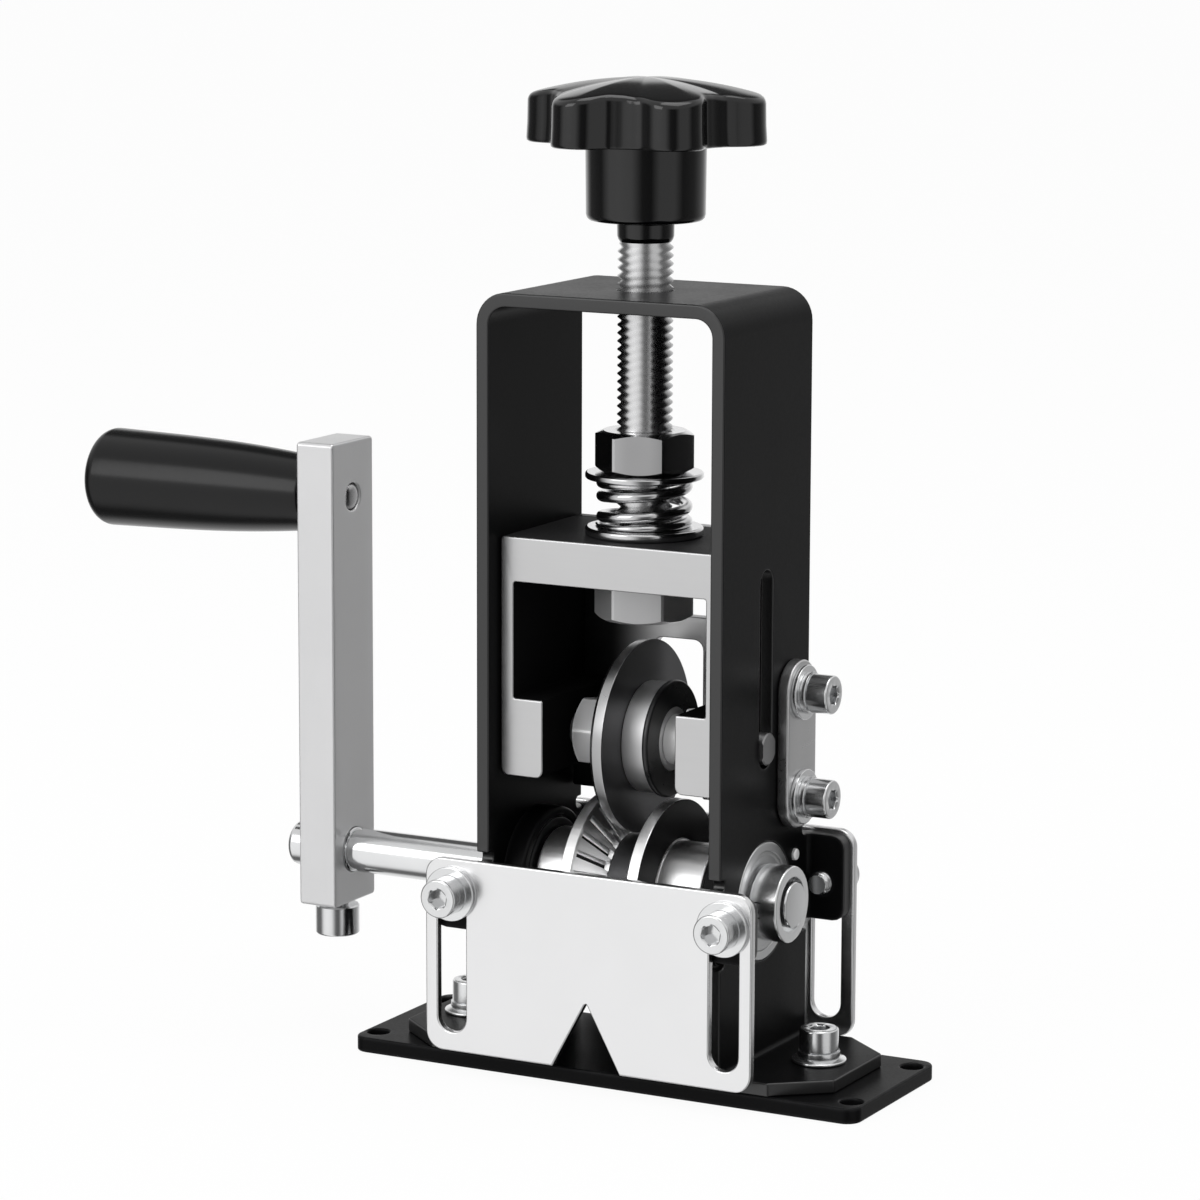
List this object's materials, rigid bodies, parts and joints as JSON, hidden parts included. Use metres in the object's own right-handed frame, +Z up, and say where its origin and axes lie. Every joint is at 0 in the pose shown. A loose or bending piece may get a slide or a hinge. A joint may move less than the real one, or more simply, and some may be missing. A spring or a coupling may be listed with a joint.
{
  "type": "hand crank wire stripper",
  "caption": "Bench wire stripper: an upright steel frame with a hand crank that turns a grooved wheel pair under a round blade, set by a star knob.",
  "frame": {"origin": "middle of the base plate's underside, on the bench", "axes": "+X along the drive shaft away from the crank, +Y from the front plate to the back plate, +Z up"},
  "size_m": [0.2006, 0.0652, 0.2163],
  "materials": {
    "black_coat": "satin black powder coat",
    "satin_nickel_plate": "satin nickel plated sheet",
    "bright_fasteners": "bright nickel plated",
    "dark_grub": "blackened steel",
    "satin_steel": "satin ground steel",
    "bearing_steel": "ground and polished bearing steel",
    "bearing_shield": "pressed steel shield",
    "polished_shaft": "polished plated steel",
    "wheel_steel": "hardened and turned steel",
    "satin_aluminium": "satin aluminium bar",
    "turned_steel": "turned steel",
    "gloss_black_plastic": "glossy black plastic",
    "spring_chrome": "bright nickel plated",
    "blade_steel": "dark satin tool steel with a bright ground edge",
    "black_flange": "glossy black plastic"
  },
  "bodies": {
    "frame": {"base_plate": "black_coat", "frame": "black_coat", "bearing_bosses": "black_coat", "foot_washers": "bright_fasteners", "foot_lock_washers": "bright_fasteners", "foot_screws": "bright_fasteners", "plate_washers": "bright_fasteners", "plate_screws": "bright_fasteners", "wall_pin": "satin_steel", "guide_plate": "satin_steel", "guide_washers": "bright_fasteners", "guide_lock_washers": "bright_fasteners", "guide_screws": "bright_fasteners", "left_bearing_outer": "bearing_steel", "left_bearing_seals": "bearing_shield", "right_bearing_outer": "bearing_steel", "right_bearing_seals": "bearing_shield"},
    "front_plate": {"front_plate": "satin_nickel_plate"},
    "back_plate": {"back_plate": "satin_nickel_plate"},
    "drive": {"drive_shaft": "polished_shaft", "left_wheel": "wheel_steel", "right_wheel": "wheel_steel", "groove_ring": "dark_grub", "wheel_spacers": "polished_shaft", "wheel_grub_screws": "dark_grub", "shaft_collar": "polished_shaft", "collar_grub_screw": "dark_grub", "crank_arm": "satin_aluminium", "clamp_screw": "bright_fasteners", "grip_spindle": "turned_steel", "left_bearing_inner": "bearing_steel", "left_bearing_balls": "bearing_steel", "right_bearing_inner": "bearing_steel", "right_bearing_balls": "bearing_steel"},
    "grip": {"grip": "gloss_black_plastic"},
    "spring_seat": {"upper_washer": "spring_chrome", "spring": "spring_chrome"},
    "adjusting_screw": {"adjusting_bolt": "turned_steel", "upper_nut": "spring_chrome", "knob": "gloss_black_plastic"},
    "blade_holder": {"lower_washer": "spring_chrome", "blade_holder": "satin_steel", "blade_guard": "satin_steel", "guard_screws": "bright_fasteners", "blade_axle": "turned_steel", "axle_nut": "turned_steel", "axle_jam_nut": "turned_steel", "axle_spacers": "turned_steel"},
    "blade": {"blade": "blade_steel", "blade_hub": "turned_steel", "left_flange": "black_flange", "right_flange": "black_flange"}
  },
  "joints": [
    {"name": "crank_spin", "type": "hinge", "parent": "frame", "child": "drive", "pos_m": [0, 0, 0.0403], "axis": [1, 0, 0], "continuous": true},
    {"name": "grip_spin", "type": "hinge", "parent": "drive", "child": "grip", "pos_m": [-0.1111, 0, 0.1208], "axis": [1, 0, 0], "continuous": true},
    {"name": "front_plate_slide", "type": "slide", "parent": "frame", "child": "front_plate", "axis": [0, 0, 1], "range_m": [0, 0.026]},
    {"name": "back_plate_slide", "type": "slide", "parent": "frame", "child": "back_plate", "axis": [0, 0, 1], "range_m": [0, 0.026]},
    {"name": "screw_feed", "type": "slide", "parent": "frame", "child": "spring_seat", "axis": [0, 0, 1], "range_m": [0, 0.02538]},
    {"name": "knob_spin", "type": "hinge", "parent": "spring_seat", "child": "adjusting_screw", "pos_m": [0, 0, 0.19], "axis": [0, 0, 1], "range_deg": [0, 5220]},
    {"name": "spring_float", "type": "slide", "parent": "spring_seat", "child": "blade_holder", "axis": [0, 0, 1], "range_m": [0, 0.0025], "stiffness_N_per_m": 20000, "springref_m": -0.002, "deforming": ["spring"]},
    {"name": "blade_spin", "type": "hinge", "parent": "blade_holder", "child": "blade", "pos_m": [0, 0, 0.0738], "axis": [1, 0, 0], "continuous": true}
  ],
  "couplings": [
    {"joint": "knob_spin", "follows": "screw_feed", "rad_per_m": 3590.4}
  ]
}
